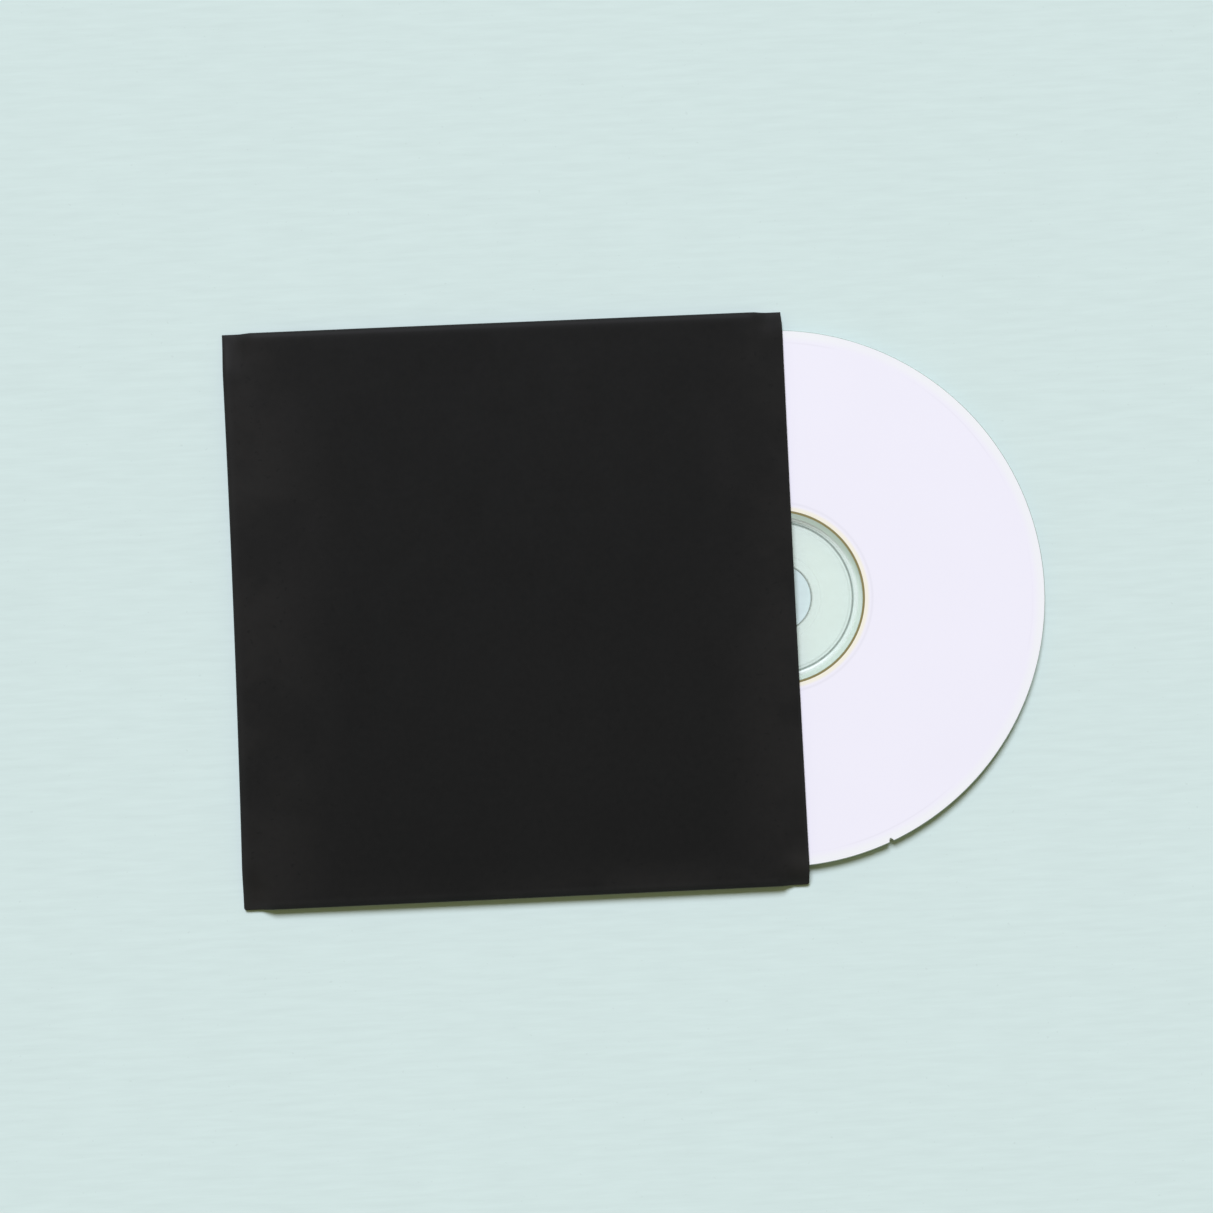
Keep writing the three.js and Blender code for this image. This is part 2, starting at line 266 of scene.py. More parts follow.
class Value:
    """One output socket. Python's operators on it add Math nodes to its tree."""

    def __init__(self, paint, socket):
        self.paint = paint
        self.socket = socket

    def _math(self, operation, first, second=0.0, clamp=False):
        settings = {"operation": operation, "use_clamp": clamp}
        return self.paint.node("ShaderNodeMath", settings, {0: first, 1: second})

    def __add__(self, other):
        return self._math("ADD", self, other)

    def __radd__(self, other):
        return self._math("ADD", other, self)

    def __sub__(self, other):
        return self._math("SUBTRACT", self, other)

    def __rsub__(self, other):
        return self._math("SUBTRACT", other, self)

    def __mul__(self, other):
        return self._math("MULTIPLY", self, other)

    def __rmul__(self, other):
        return self._math("MULTIPLY", other, self)

    def __pow__(self, other):
        return self._math("POWER", self, other)

    def __neg__(self):
        return self._math("MULTIPLY", self, -1.0)

    def __abs__(self):
        return self._math("ABSOLUTE", self)

    def clamped(self):
        """Kept between 0 and 1."""
        return self._math("ADD", self, 0.0, clamp=True)

    def most(self, other):
        """The larger of the two."""
        return self._math("MAXIMUM", self, other)

    def rise(self, start, end):
        """0 where this is below start, 1 where it is above end, with a soft rise between."""
        settings = {"interpolation_type": "SMOOTHSTEP"}
        inputs = {"Value": self, "From Min": start, "From Max": end, "To Min": 0.0, "To Max": 1.0}
        return self.paint.node("ShaderNodeMapRange", settings, inputs)

    def near(self, place, reach):
        """1 at a place and 0 at a reach from it, on both sides."""
        return 1.0 - abs(self - place).rise(0.0, reach)


class Paint:
    """The nodes of a new material, or of the world."""

    def __init__(self, owner):
        owner.use_nodes = True
        self.owner = owner
        self.tree = owner.node_tree
        self.tree.nodes.clear()

    def node(self, kind, settings=None, inputs=None, out=0):
        """Adds a node, sets its settings and then its inputs, and returns one of its outputs."""
        made = self.tree.nodes.new(kind)
        for name, value in (settings or {}).items():
            setattr(made, name, value)
        for name, value in (inputs or {}).items():
            if isinstance(value, Value):
                self.tree.links.new(value.socket, made.inputs[name])
            else:
                made.inputs[name].default_value = value
        return Value(self, made.outputs[out]) if made.outputs else None

    def place(self):
        """The point's own coordinates in the model's frame."""
        return self.node("ShaderNodeTexCoord", out="Object")

    def axes(self, point):
        """The three coordinates of a point as values."""
        parts = self.node("ShaderNodeSeparateXYZ", inputs={0: point}).socket.node
        return [Value(self, parts.outputs[k]) for k in range(3)]

    def grain(self, point, size, detail=3.0, roughness=0.55, stretch=(1.0, 1.0, 1.0)):
        """Noise from 0 to 1 whose features are about a size in metres across."""
        settings = {"operation": "MULTIPLY"}
        scaled = self.node("ShaderNodeVectorMath", settings, {0: point, 1: tuple(s / size for s in stretch)})
        inputs = {"Vector": scaled, "Scale": 1.0, "Detail": detail, "Roughness": roughness}
        return self.node("ShaderNodeTexNoise", {"noise_dimensions": "3D"}, inputs)

    def mix(self, factor, first, second):
        """A colour between two colours."""
        inputs = {0: factor, 6: self._rgba(first), 7: self._rgba(second)}
        return self.node("ShaderNodeMix", {"data_type": "RGBA"}, inputs, out=2)

    def _rgba(self, value):
        return value if isinstance(value, Value) else (*value, 1.0)

    def toned(self, base, tone):
        """A colour made lighter or darker by a number."""
        return self.node("ShaderNodeVectorMath", {"operation": "SCALE"}, {0: base, "Scale": tone})

    def bump(self, height, strength, distance):
        """A normal that follows a height."""
        inputs = {"Strength": strength, "Distance": distance, "Height": height}
        return self.node("ShaderNodeBump", None, inputs)

    def solid(self, inputs):
        """A shader for an opaque surface."""
        return self.node("ShaderNodeBsdfPrincipled", None, inputs)

    def finish(self, shader, kind="ShaderNodeOutputMaterial"):
        """Puts a shader on the surface and returns the material or world."""
        self.node(kind, None, {"Surface": shader})
        return self.owner


def ease(distance, run):
    """0 before a run starts, 1 after it ends, and a soft rise between."""
    t = min(max(distance / run, 0.0), 1.0)
    return t * t * (3 - 2 * t)


def spread(start, end, step):
    """Evenly spaced numbers from start towards end, without the last."""
    count = max(1, math.ceil(abs(end - start) / step))
    return [start + (end - start) * k / count for k in range(count)]


def piece_from(name, vertices, faces, body, slot, material):
    """A new mesh piece that rides on a body."""
    mesh = bpy.data.meshes.new(name)
    mesh.from_pydata(vertices, [], faces)
    mesh.validate()
    mesh.materials.append(material)
    mesh.polygons.foreach_set("use_smooth", [True] * len(mesh.polygons))
    piece = bpy.data.objects.new(name, mesh)
    bpy.context.scene.collection.objects.link(piece)
    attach(piece, body)
    return piece


class FoldedSheet:
    """The outer skin of the folded card sheet, as mesh rows."""

    def __init__(self, sizes, disc):
        self.s = sizes
        flap_top = 2 * sizes.sheet
        self.disc_radius = (DISC_HIGH.y - DISC_LOW.y) / 2
        self.panel_flat = flap_top + sizes.seat_gap + disc.thickness + sizes.headroom + sizes.sheet
        self.disc_in_x = -sizes.half_width + sizes.spine_bend + sizes.spine_gap + self.disc_radius
        self.corner_dip = self.panel_flat - (flap_top + sizes.corner_gap + sizes.sheet)
        corner = math.hypot(self.disc_in_x + sizes.half_width, sizes.half_height)
        self.corner_run = corner - self.disc_radius
        self.flap_start = -sizes.half_width + sizes.flap_spine_gap
        self.flap_end = sizes.half_width - sizes.flap_mouth_gap
        self.index = {}
        self.vertices = []
        self.faces = []

    def top(self, x, y):
        """Height of the front panel's outer face before the folds turn it down."""
        s = self.s
        bulge = max((1 - (x / s.half_width) ** 2) * (1 - (y / s.half_height) ** 2), 0.0)
        away = math.hypot(min(x - self.disc_in_x, 0.0), y) - self.disc_radius
        dip = self.corner_dip * ease(away, self.corner_run)
        clear_of_disc = ease(abs(y) - self.disc_radius, s.half_height - self.disc_radius)
        mouth_end = ease(s.low_end + s.low_run - (s.half_width - x), s.low_run) * clear_of_disc
        near_fold = ease(abs(y) - s.half_height + s.spine_droop_rise, s.spine_droop_rise)
        spine_end = ease(s.low_end + s.low_run - (s.half_width + x), s.low_run) * near_fold
        droop = s.mouth_droop * mouth_end + s.spine_droop * spine_end
        waves = s.waves * (0.5 + 0.5 * noise.noise(Vector((x, y, 0.0)) / s.wave_size))
        return self.panel_flat + s.crown * bulge - dip - droop - waves

    def middle(self, x, y):
        """Height of the middle of a fold, where the front turns into what lies under it."""
        return (self.top(x, y) + self.s.sheet) / 2

    def turn_rows(self, reach):
        """Distances in from a fold and the share of the fold's height reached there."""
        flat = self.s.fold_flat
        rows = [(0.0, 0.0)]
        for k in range(self.s.bend_steps + 1):
            part = math.pi / 2 * k / self.s.bend_steps
            rows.append((reach * (1 - math.cos(part)), flat + (1 - flat) * math.sin(part)))
        return rows

    def share_at(self, inside, reach):
        """Share of a fold's height at a distance in from it."""
        flat = self.s.fold_flat
        back = min(max(1 - inside / reach, 0.0), 1.0)
        return flat + (1 - flat) * math.sqrt(1 - back * back)

    def long_rows(self):
        """Rows from the spine to the mouth, as x and share of the spine fold's height."""
        s = self.s
        rows = [(-s.half_width + inside, part) for inside, part in self.turn_rows(s.spine_bend)]
        ends = (-s.half_width + s.spine_bend, self.flap_start, self.flap_end, s.half_width - MOUTH_ROWS[0])
        for low, high in zip(ends, ends[1:]):
            rows += [(x, 1.0) for x in spread(low, high, s.panel_step)]
        rows += [(s.half_width - inside, 1.0) for inside in MOUTH_ROWS]
        return [rows[k] for k in range(len(rows)) if k == 0 or rows[k] != rows[k - 1]]

    def cross_rows(self):
        """Rows from one side fold to the other, as y and share of the side folds' height."""
        s = self.s
        turn = self.turn_rows(s.side_bend)
        turn.append((s.back_inset, self.share_at(s.back_inset, s.side_bend)))
        turn.sort()
        low = [(-s.half_height + inside, part) for inside, part in turn]
        edge = s.half_height - s.side_bend
        inner = [(y, 1.0) for y in spread(-edge, edge, s.panel_step)[1:]]
        return low + inner + [(-y, part) for y, part in reversed(low)]

    def warp(self, x, y):
        """A point of the plan after the edges' slight bow and the worn corners' small roundings."""
        s = self.s
        up = y / s.half_height
        along = (x / s.half_width + 1) / 2
        spine_in = s.spine_bow * (1 - up * up) + s.spine_skew * (1 - up) / 2
        mouth_in = s.mouth_in + s.mouth_bow * (1 - up * up) + s.mouth_skew * up / 2
        out_x = x + spine_in * (1 - along) ** 3 - mouth_in * along**3
        out_y = y
        for side in (1, -1):
            past_x = 1 - (s.half_width - side * x) / s.corner_round
            past_y = 1 - (s.half_height + y) / s.corner_round
            if past_x > 0 and past_y > 0:
                pull = max(past_x, past_y) / math.hypot(past_x, past_y)
                out_x -= side * s.corner_round * past_x * (1 - pull)
                out_y += s.corner_round * past_y * (1 - pull)
        return out_x, out_y

    def point(self, x, y, z):
        """Index of a vertex, the same one for the same place."""
        key = (round(x, SAME_PLACE), round(y, SAME_PLACE), round(z, SAME_PLACE))
        if key not in self.index:
            self.index[key] = len(self.vertices)
            self.vertices.append((*self.warp(x, y), z))
        return self.index[key]

    def grid(self, rows):
        """Faces between neighbouring rows of points, as triangles where two corners are one point."""
        for first, second in zip(rows, rows[1:]):
            for a, b, c, d in zip(first, second, second[1:], first[1:]):
                corners = list(dict.fromkeys((a, b, c, d)))
                if len(corners) > 2:
                    self.faces.append(corners)

    def front_panel(self, long_rows, cross_rows):
        """The front panel with the upper halves of the three folds."""
        rows = []
        for x, x_part in long_rows:
            row = []
            for y, y_part in cross_rows:
                middle = self.middle(x, y)
                row.append(self.point(x, y, middle + (self.top(x, y) - middle) * x_part * y_part))
            rows.append(row)
        self.grid(rows)

    def back_panel(self, long_rows, cross_rows):
        """The back panel with the lower half of the spine fold."""
        limit = self.s.half_height - self.s.back_inset + SLACK
        rows = []
        for x, x_part in long_rows:
            inner = [y for y, _ in cross_rows if abs(y) <= limit]
            row = [self.point(x, y, self.middle(x, y) * (1 - x_part)) for y in inner]
            rows.append(row[::-1])
        self.grid(rows)

    def glue_flap(self, long_rows, side):
        """The flap under the upper side fold, side 1, or the lower, side -1, with the fold's lower half."""
        s = self.s
        stations = [x for x, _ in long_rows if self.flap_start - SLACK <= x <= self.flap_end + SLACK]
        centre = (stations[0] + stations[-1]) / 2
        half = (stations[-1] - stations[0]) / 2
        under = s.sheet + s.glue
        flat = spread(s.side_bend, s.flap_depth, s.panel_step)[1:] + [s.flap_depth]
        rows = []
        for inside, part in self.turn_rows(s.side_bend) + [(inside, 1.0) for inside in flat]:
            past = max(inside - s.side_bend, 0.0) / (s.flap_depth - s.side_bend)
            y = side * (s.half_height - inside)
            row = []
            for x in stations:
                place = centre + (x - centre) * (1 - s.flap_taper / half * past)
                middle = self.middle(x, side * s.half_height)
                row.append(self.point(place, y, middle - (middle - under) * part))
            rows.append(row[::-1] if side > 0 else row)
        self.grid(rows)

    def build(self):
        """The vertices and faces of the whole skin."""
        long_rows = self.long_rows()
        cross_rows = self.cross_rows()
        self.front_panel(long_rows, cross_rows)
        self.back_panel(long_rows, cross_rows)
        self.glue_flap(long_rows, -1)
        self.glue_flap(long_rows, 1)
        return self.vertices, self.faces


def lathe(profile, sizes, nick_depth=0.0):
    """A closed ring from a closed profile of radius and height, nicked at its rim where a depth is given."""
    turns = [TURN * k / sizes.segments for k in range(sizes.segments)]
    if nick_depth:
        reach = sizes.nick_half / sizes.radius
        clear = NICK_CLEAR * reach
        turns = [t for t in turns if abs(math.remainder(t - sizes.nick_angle, TURN)) > clear]
        beside = range(-NICK_STEPS - 1, NICK_STEPS + 2)
        turns += [(sizes.nick_angle + reach * k / NICK_STEPS) % TURN for k in beside]
        turns.sort()
    vertices = []
    faces = []
    count = len(profile)
    for step, turn in enumerate(turns):
        off = math.remainder(turn - sizes.nick_angle, TURN) * sizes.radius / sizes.nick_half
        drawn_in = nick_depth * max(1 - off * off, 0.0)
        for radius, height in profile:
            r = radius - drawn_in * ease(radius - sizes.radius + sizes.nick_run, sizes.nick_run)
            vertices.append((DISC_MIDDLE.x + r * math.cos(turn), DISC_MIDDLE.y + r * math.sin(turn), height))
        here = step * count
        there = (step + 1) % len(turns) * count
        for k in range(count):
            n = (k + 1) % count
            faces.append((here + k, there + k, there + n, here + n))
    return vertices, faces


def ring_profile(inner, outer, low, high, step):
    """A flat ring's closed profile, with rows between its two edges."""
    radii = spread(inner, outer, step) + [outer]
    return [(r, high) for r in reversed(radii)] + [(r, low) for r in radii]


def moulding_profile(s, low, high, under_coat):
    """The clear moulding's closed profile: underside outwards, rim, top inwards and the hole's wall."""
    ring_in = s.ring - s.ring_width
    hub = high - s.hub_step_depth
    cut = 0.3 * s.edge
    wall = s.mirror_inner - s.seat_room
    profile = [(s.hole + s.edge, low), (ring_in, low)]
    profile += [(ring_in + s.ring_slope, low - s.ring_height)]
    profile += [(s.ring - s.ring_slope, low - s.ring_height)]
    profile += [(r, low) for r in spread(s.ring, s.radius - s.edge, s.row_step)]
    profile += [(s.radius - s.edge, low), (s.radius - cut, low + cut), (s.radius, low + s.edge)]
    profile += [(s.radius, high - s.edge), (s.radius - cut, high - cut), (s.radius - s.edge, high)]
    profile += [(s.coat_outer + s.coat_room + s.lip_slope, high), (s.coat_outer + s.coat_room, under_coat)]
    profile += [(r, under_coat) for r in spread(s.coat_outer, s.mirror_inner, s.row_step)[1:]]
    profile += [(wall, under_coat), (wall - s.seat_slope, high), (s.ring, high)]
    profile += [(s.ring - s.ring_slope, high - s.groove_depth)]
    profile += [(ring_in + s.ring_slope, high - s.groove_depth), (ring_in, high)]
    profile += [(s.hub_step + s.hub_step_slope, high), (s.hub_step, hub), (s.hole + s.edge, hub)]
    return profile + [(s.hole, hub - s.edge), (s.hole, low + s.edge)]


def card_material(finish, sizes):
    """Matte black card: fine fibres, a mottled face that is paler in patches towards spine, mouth and lower
    fold, rubbed folds, and lower corners made lighter by pale wear and by painted light that cancels the
    shade of their droop.
    """
    paint = Paint(bpy.data.materials.new("Black card"))
    place = paint.place()
    x, y, _ = paint.axes(place)
    soft = paint.grain(place, 55 * MM, 2.0)
    cloud = paint.grain(place, 9 * MM, 4.0, 0.6)
    fibre = paint.grain(place, 0.35 * MM, 4.0, 0.65, (1.0, 0.45, 1.0))
    speck = paint.grain(place, 1.1 * MM, 2.0).rise(0.70, 0.80)
    end_x = sizes.half_width
    end_y = sizes.half_height
    spine = 1.0 - (x + end_x).rise(0.0, finish.spine_rub)
    sides = (abs(y) - (end_y - finish.side_rub)).rise(0.0, finish.side_rub)
    mouth = (x - (end_x - finish.mouth_rub)).rise(0.0, finish.mouth_rub)
    worn = spine.most(sides * 0.9).most(mouth * 0.8) * (0.35 + 0.9 * cloud)
    # Paler in patches towards the spine, the mouth and the lower fold, more so to the right along the lower
    # fold.
    left = 1.0 - (x + end_x).rise(0.0, finish.left_pale_reach)
    right = (x - end_x + finish.right_pale_reach).rise(0.0, finish.right_pale_reach)
    to_right = (x + 20 * MM).rise(0.0, 50 * MM)
    low = (finish.low_pale_reach - end_y - y).rise(0.0, finish.low_blur) * (0.4 + 0.6 * to_right)
    # Lower corners: pale wear, together with painted light that cancels the shade falling on their drooping
    # slopes.
    corner_x = (abs(x) - end_x + finish.corner_long).rise(0.0, finish.corner_blur)
    corner_y = (abs(y) - end_y + finish.corner_high).rise(0.0, finish.corner_blur)
    lower_half = (-y).rise(0.0, 10 * MM)
    corner = corner_x * corner_y * lower_half
    patch = paint.grain(place, 20 * MM, 3.0, 0.6).rise(0.36, 0.62)
    paler_edges = (left.most(right * 0.8).most(low) * (0.15 + 0.45 * cloud + 0.75 * patch)).clamped()
    mottle = paint.grain(place, 1.6 * MM, 3.0, 0.6)
    pit = paint.grain(place, 1.2 * MM, 1.0).rise(0.66, 0.76) * (0.25 + 0.75 * paler_edges)
    tone = 0.78 + 0.44 * soft + 0.30 * (fibre - 0.5) + 0.55 * (mottle - 0.5) + 0.25 * speck
    # The corner term is pale wear and painted light on the lower corners.
    tone = tone + paler_edges + 1.1 * corner - 0.6 * pit
    face = paint.toned(tuple(finish.black), tone)
    shader = paint.solid({
        "Base Color": paint.mix((worn * 0.55).clamped(), face, tuple(finish.rubbed)),
        "Roughness": (finish.roughness + 0.16 * (cloud - 0.5) - 0.10 * worn).clamped(),
        "Normal": paint.bump(0.7 * fibre + 0.3 * cloud, 0.35, finish.tooth),
        "Specular IOR Level": finish.specular,
    })
    return paint.finish(shader)


def around_disc(paint):
    """Distance of a point from the disc's axis, its height and the point itself."""
    place = paint.place()
    x, y, z = paint.axes(place)
    across = x - DISC_MIDDLE.x
    along = y - DISC_MIDDLE.y
    return (across * across + along * along) ** 0.5, z, place


def white_material(finish, sizes):
    """The white printable coat: fine tooth, a cream inner edge, a grey line and a paler band at the rim."""
    paint = Paint(bpy.data.materials.new("White coat"))
    radius, _, place = around_disc(paint)
    tooth = paint.grain(place, 0.25 * MM, 3.0, 0.6)
    cloud = paint.grain(place, 30 * MM, 2.0)
    full = radius.rise(sizes.coat_inner + 0.4 * MM, finish.coat_full)
    band = radius.rise(finish.coat_band - 0.8 * MM, finish.coat_band + 1.2 * MM) * (0.45 + 0.8 * cloud)
    line = radius.near(finish.coat_line, 0.5 * MM) * 0.06
    rim_line = radius.near(finish.coat_band - 0.7 * MM, 0.3 * MM) * cloud.rise(0.42, 0.62) * 0.05
    inner = paint.mix(full, finish.cream, finish.white)
    base = paint.mix(band, inner, finish.band)
    tone = 1.0 - line - rim_line + 0.012 * (tooth - 0.5) + 0.02 * (cloud - 0.5)
    shader = paint.solid({
        "Base Color": paint.toned(base, tone),
        "Roughness": (0.46 + 0.10 * (cloud - 0.5) + 0.08 * (tooth - 0.5)).clamped(),
        "Normal": paint.bump(tooth, 0.12, 0.02 * MM),
        "Specular IOR Level": 0.3,
    })
    return paint.finish(shader)


def mirror_material(finish, sizes):
    """The reflective layer: faint rings and clouds of tone, two darker rings and a bare olive inner edge."""
    paint = Paint(bpy.data.materials.new("Mirror layer"))
    radius, _, place = around_disc(paint)
    outwards = {"W": radius * finish.bands, "Detail": 2.0}
    bands = paint.node("ShaderNodeTexNoise", {"noise_dimensions": "1D"}, outwards)
    cloud = paint.grain(place, 12 * MM, 3.0)
    layer = radius.rise(sizes.coat_inner, sizes.coat_inner + 0.3 * MM)
    lead = radius.near(finish.lead_in, 1.0 * MM).most(radius.near(finish.lead_out, 0.6 * MM))
    toned = paint.mix((bands * 0.7 + cloud * 0.3).clamped(), finish.mirror, finish.sheen)
    ringed = paint.mix(lead * 0.45, toned, finish.lead)
    shader = paint.solid({
        "Base Color": paint.mix(layer, finish.olive, ringed),
        "Metallic": layer,
        "Roughness": (0.16 + 0.10 * (cloud - 0.5)).clamped(),
        "Thin Film Thickness": finish.film,
        "Thin Film IOR": finish.film_ior,
    })
    return paint.finish(shader)


def clear_material(finish, sizes):
    """The clear moulding: what is behind it shows, under a pale veil of painted light; painted shade darkens
    the ring's flanks, the hub's step, the hole's wall and the rim, and painted light brightens the groove's
    outer edge and the band inside the coat.
    """
    paint = Paint(bpy.data.materials.new("Clear moulding"))
    radius, height, place = around_disc(paint)
    upper = height.rise(DISC_HIGH.z - 0.6 * MM, DISC_HIGH.z - 0.4 * MM)
    # Painted shade: dark lines on the top face at the groove's flank, the ring's inner edge and the hub's
    # step.
    dark = radius.near(sizes.ring - 0.65 * MM, 0.45 * MM) * upper
    faint = radius.near(sizes.ring - sizes.ring_width, 0.4 * MM) * upper
    # Painted highlight: the line of light on the groove's outer edge.
    bright = radius.near(sizes.ring + 0.15 * MM, 0.6 * MM) * upper
    step = radius.near(sizes.hub_step, 0.3 * MM) * upper
    # Painted shadow: the hole's wall darkened as if the disc's own thickness shaded it.
    wall = 1.0 - (radius - sizes.hole).rise(0.1 * MM, 0.7 * MM)
    before_coat = 1.0 - radius.rise(sizes.coat_inner, sizes.coat_inner + 0.2 * MM)
    # Painted light: the band between groove and coat made paler, over the shadow that the coat casts on the
    # floor below.
    bare = (radius - finish.bare_start).rise(0.0, 0.4 * MM) * before_coat
    cloud = paint.grain(place, 4 * MM, 3.0)
    # Painted shade: the rim darkened and tinted green-grey.
    rim = radius.rise(sizes.radius - 0.4 * MM, sizes.radius)
    # These painted shade lines darken the moulding towards the flank colour.
    shade_lines = 0.66 * dark + 0.16 * faint + 0.08 * step + 0.42 * wall
    # pale holds the painted highlight on the groove's edge and the painted light on that band.
    pale = (0.26 * bright).most(0.50 * bare * upper)
    # The 0.08 base with its cloud is the painted pale veil; the rest carries the painted lines, the painted
    # light and the rim.
    amount = (0.08 + 0.03 * cloud + shade_lines + pale + 0.60 * rim).clamped()
    shaded = paint.mix((2.4 * shade_lines).clamped(), finish.light_veil, finish.flank_shade)
    rimmed = paint.mix(rim, paint.mix(bare, shaded, finish.bare), finish.rim)
    tint = paint.mix((bright * 1.2).clamped(), rimmed, finish.bright)
    rough = (0.18 + 0.06 * cloud).clamped()
    through = paint.node("ShaderNodeBsdfTransparent", None, {"Color": (*finish.clear, 1.0)})
    body = paint.solid({"Base Color": tint, "Roughness": rough, "IOR": finish.clear_ior})
    gloss = paint.node("ShaderNodeBsdfAnisotropic", None, {"Color": (1.0, 1.0, 1.0, 1.0), "Roughness": 0.05})
    inside = paint.node("ShaderNodeMixShader", None, {0: amount, 1: through, 2: body})
    glancing = paint.node("ShaderNodeLayerWeight", None, {"Blend": 0.5}, out=1) ** 4.0 * 0.8
    return paint.finish(paint.node("ShaderNodeMixShader", None, {0: glancing, 1: inside, 2: gloss}))


def floor_material(settings):
    """A plain pale floor with faint streaks and specks."""
    paint = Paint(bpy.data.materials.new("Pale floor"))
    place = paint.place()
    cloud = paint.grain(place, 50 * MM, 2.0)
    streak = paint.grain(place, 1.3 * MM, 3.0, 0.6, (0.10, 1.0, 1.0))
    speck = paint.grain(place, 1.1 * MM, 1.0).rise(0.72, 0.80)
    darker = tuple(part * settings.floor_dark for part in settings.floor)
    marks = (0.20 * cloud + streak - 0.4 + 0.5 * speck).clamped()
    shader = paint.solid({
        "Base Color": paint.mix(marks, settings.floor, darker),
        "Roughness": 0.7,
        "Specular IOR Level": 0.1,
    })
    return paint.finish(shader)


def studio_world(settings):
    """Even light from all round, and the floor's colour for the camera, reflections and clear pieces."""
    paint = Paint(bpy.data.worlds.new("Studio"))
    camera_ray = paint.node("ShaderNodeLightPath", out="Is Camera Ray")
    glossy_ray = paint.node("ShaderNodeLightPath", out="Is Glossy Ray")
    clear_ray = paint.node("ShaderNodeLightPath", out="Is Transmission Ray")
    seen = camera_ray.most(glossy_ray).most(clear_ray)
    fill = paint.node("ShaderNodeBackground", None, {"Color": (*settings.fill, 1.0)})
    backdrop = paint.node("ShaderNodeBackground", None, {"Color": (*settings.floor, 1.0)})
    surface = paint.node("ShaderNodeMixShader", None, {0: seen, 1: fill, 2: backdrop})
    return paint.finish(surface, "ShaderNodeOutputWorld")


class SLEEVE_OT_build_sleeve(Operator):
    """Build the folded card sleeve"""

    bl_idname = "sleeve.build_sleeve"
    bl_label = "Build sleeve"

    def execute(self, context):
        sizes = context.scene.sleeve_sizes
        vertices, faces = FoldedSheet(sizes, context.scene.disc_sizes).build()
        material = card_material(context.scene.card_finish, sizes)
        piece = piece_from("folded_sleeve", vertices, faces, "sleeve_body", "black_card", material)
        card = piece.modifiers.new("Card", "SOLIDIFY")
        card.thickness = sizes.sheet
        card.offset = -1.0
        edges = piece.modifiers.new("Cut edges", "BEVEL")
        edges.width = sizes.cut_break
        edges.segments = 2
        edges.limit_method = "ANGLE"
        edges.angle_limit = sizes.cut_angle
        edges.use_clamp_overlap = True
        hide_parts("sleeve")
        return {"FINISHED"}


class SLEEVE_OT_build_disc(Operator):
    """Build the disc: clear moulding, reflective layer and white coat"""

    bl_idname = "sleeve.build_disc"
    bl_label = "Build disc"

    def execute(self, context):
        s = context.scene.disc_sizes
        finish = context.scene.disc_finish
        low = DISC_LOW.z + s.ring_height
        high = low + s.thickness
        under_coat = high - s.coat - s.layer - 2 * s.layer_gap
        mirror_low = under_coat + s.layer_gap
        mirror_high = mirror_low + s.layer
        coat_low = mirror_high + s.layer_gap
        moulding = lathe(moulding_profile(s, low, high, under_coat), s, s.nick_depth)
        mirror = lathe(ring_profile(s.mirror_inner, s.mirror_outer, mirror_low, mirror_high, s.row_step), s)
        coat = lathe(ring_profile(s.coat_inner, s.coat_outer, coat_low, high, s.row_step), s, s.nick_coat)
        pieces = [
            piece_from("disc_moulding", *moulding, "disc_body", "white_disc", clear_material(finish, s)),
            piece_from("disc_mirror", *mirror, "disc_body", "white_disc", mirror_material(finish, s)),
            piece_from("disc_coat", *coat, "disc_body", "white_disc", white_material(finish, s)),
        ]
        pieces[0].visible_shadow = False
        for piece in pieces:
            piece.data.set_sharp_from_angle(angle=s.sharp)
            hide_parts("disc")
        return {"FINISHED"}


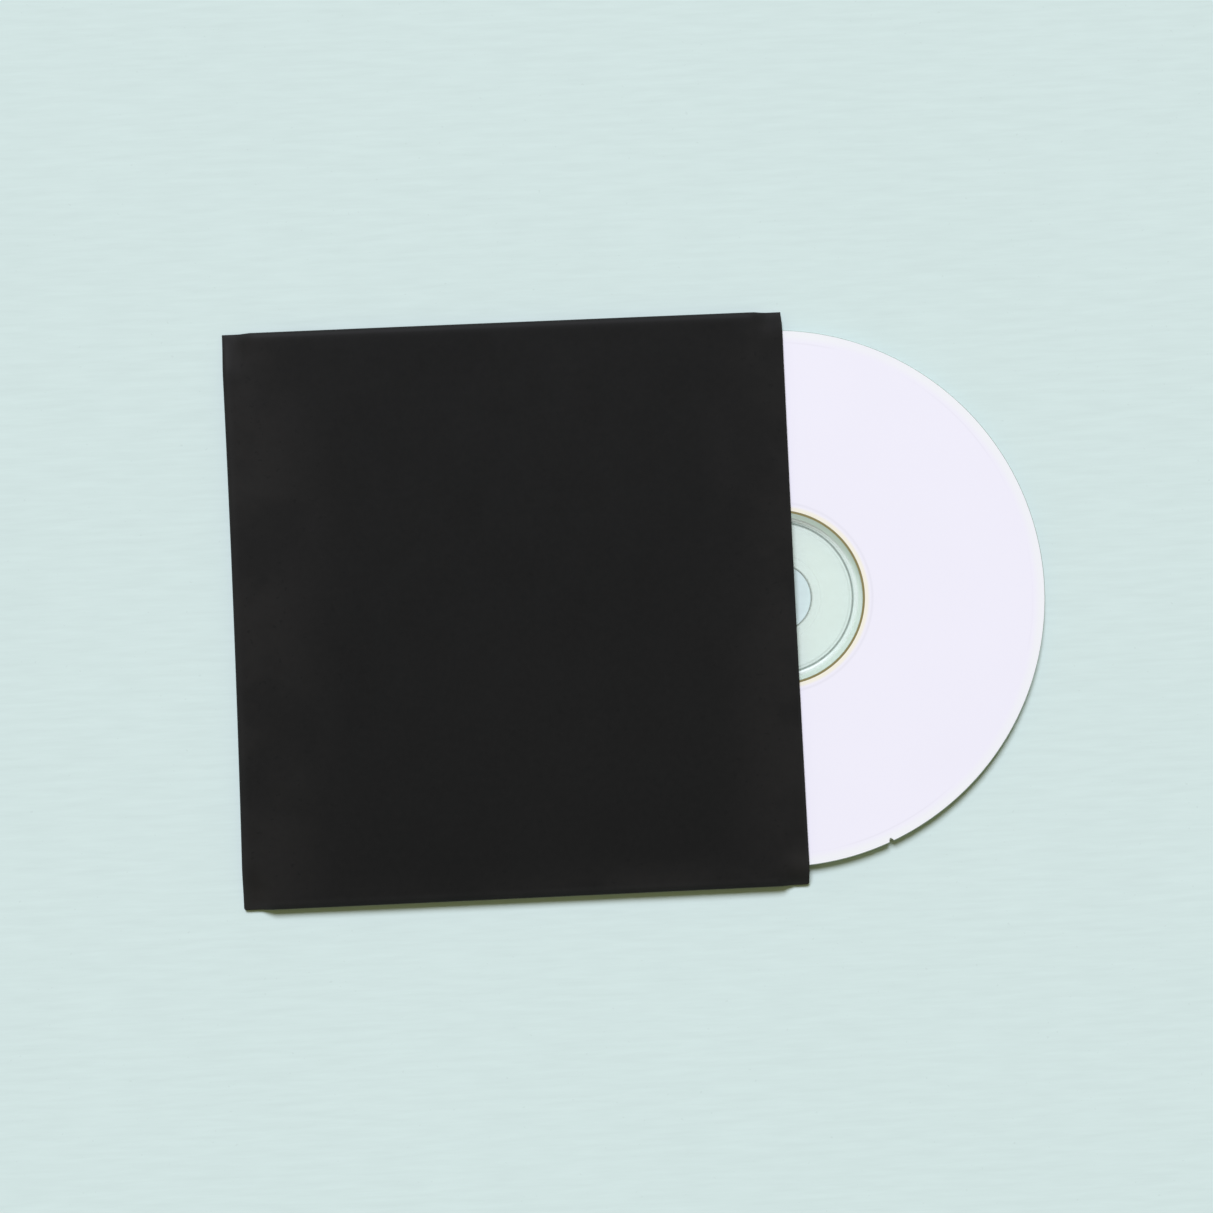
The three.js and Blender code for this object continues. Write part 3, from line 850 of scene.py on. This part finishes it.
class SLEEVE_OT_build_stage(Operator):
    """Build the floor, the key lamp, the light from all round and the camera"""

    bl_idname = "sleeve.build_stage"
    bl_label = "Build stage"

    def execute(self, context):
        settings = context.scene.stage_settings
        self.build_floor(settings)
        self.build_key_lamp(settings)
        context.scene.world = studio_world(settings)
        context.scene.camera = self.build_camera(settings)
        context.scene.view_settings.view_transform = "Standard"
        return {"FINISHED"}

    def put(self, name, data):
        """A new object in the scene."""
        made = bpy.data.objects.new(name, data)
        bpy.context.scene.collection.objects.link(made)
        return made

    def build_floor(self, s):
        """One large square at the height of the sleeve's underside."""
        half = s.floor_half
        corners = [(-half, -half, 0), (half, -half, 0), (half, half, 0), (-half, half, 0)]
        mesh = bpy.data.meshes.new("Floor")
        mesh.from_pydata(corners, [], [(0, 1, 2, 3)])
        mesh.materials.append(floor_material(s))
        self.put("floor", mesh)

    def build_key_lamp(self, s):
        """The key lamp, which lights the floor together with the fill so that white comes out as white."""
        rest = [1.0 - part for part in s.fill]
        lamp = bpy.data.lights.new("Key lamp", "SUN")
        lamp.color = [part / max(rest) for part in rest]
        lamp.energy = math.pi * max(rest) / math.sin(s.key_height)
        lamp.angle = s.key_angle
        flat = math.cos(s.key_height)
        toward = Vector((-math.sin(s.key_turn) * flat, math.cos(s.key_turn) * flat, math.sin(s.key_height)))
        self.put("Key lamp", lamp).rotation_euler = toward.to_track_quat("Z", "Y").to_euler()

    def build_camera(self, s):
        """The camera, which looks almost straight down."""
        data = bpy.data.cameras.new("Camera")
        data.lens = s.lens
        data.sensor_width = s.sensor
        data.clip_start, data.clip_end = CLIP
        camera = self.put("Camera", data)
        lean_x, lean_y, roll = s.lean
        lean = Matrix.Rotation(lean_y, 3, "Y") @ Matrix.Rotation(lean_x, 3, "X")
        turn = (lean @ Matrix.Rotation(roll, 3, "Z")).transposed()
        pose = turn.to_4x4()
        pose.translation = Vector(s.target) + turn @ Vector((0, 0, s.distance))
        camera.matrix_world = pose
        return camera


class SLEEVE_PT_panel(Panel):
    """Buttons and settings"""

    bl_idname = "SLEEVE_PT_panel"
    bl_label = "Card sleeve"
    bl_space_type = "VIEW_3D"
    bl_region_type = "UI"
    bl_category = "Sleeve"

    def draw(self, context):
        for kind in OPERATORS:
            self.layout.operator(kind.bl_idname, text=kind.bl_label)
        for name, group in SETTINGS.items():
            box = self.layout.box()
            box.label(text=group.__doc__)
            for key in group.__annotations__:
                box.prop(getattr(context.scene, name), key)


SETTINGS = {
    "sleeve_sizes": SleeveSizes,
    "card_finish": CardFinish,
    "disc_sizes": DiscSizes,
    "disc_finish": DiscFinish,
    "stage_settings": StageSettings,
}
OPERATORS = (SLEEVE_OT_build_sleeve, SLEEVE_OT_build_disc, SLEEVE_OT_build_stage)
CLASSES = (*SETTINGS.values(), *OPERATORS, SLEEVE_PT_panel)


def register():
    for kind in CLASSES:
        bpy.utils.register_class(kind)
    for name, group in SETTINGS.items():
        setattr(bpy.types.Scene, name, PointerProperty(type=group))


def unregister():
    for name in SETTINGS:
        delattr(bpy.types.Scene, name)
    for kind in reversed(CLASSES):
        bpy.utils.unregister_class(kind)


def main():
    """Registers the add-on and runs its operators."""
    register()
    bpy.ops.sleeve.build_sleeve()
    bpy.ops.sleeve.build_disc()
    bpy.ops.sleeve.build_stage()


if __name__ == "__main__":
    main()
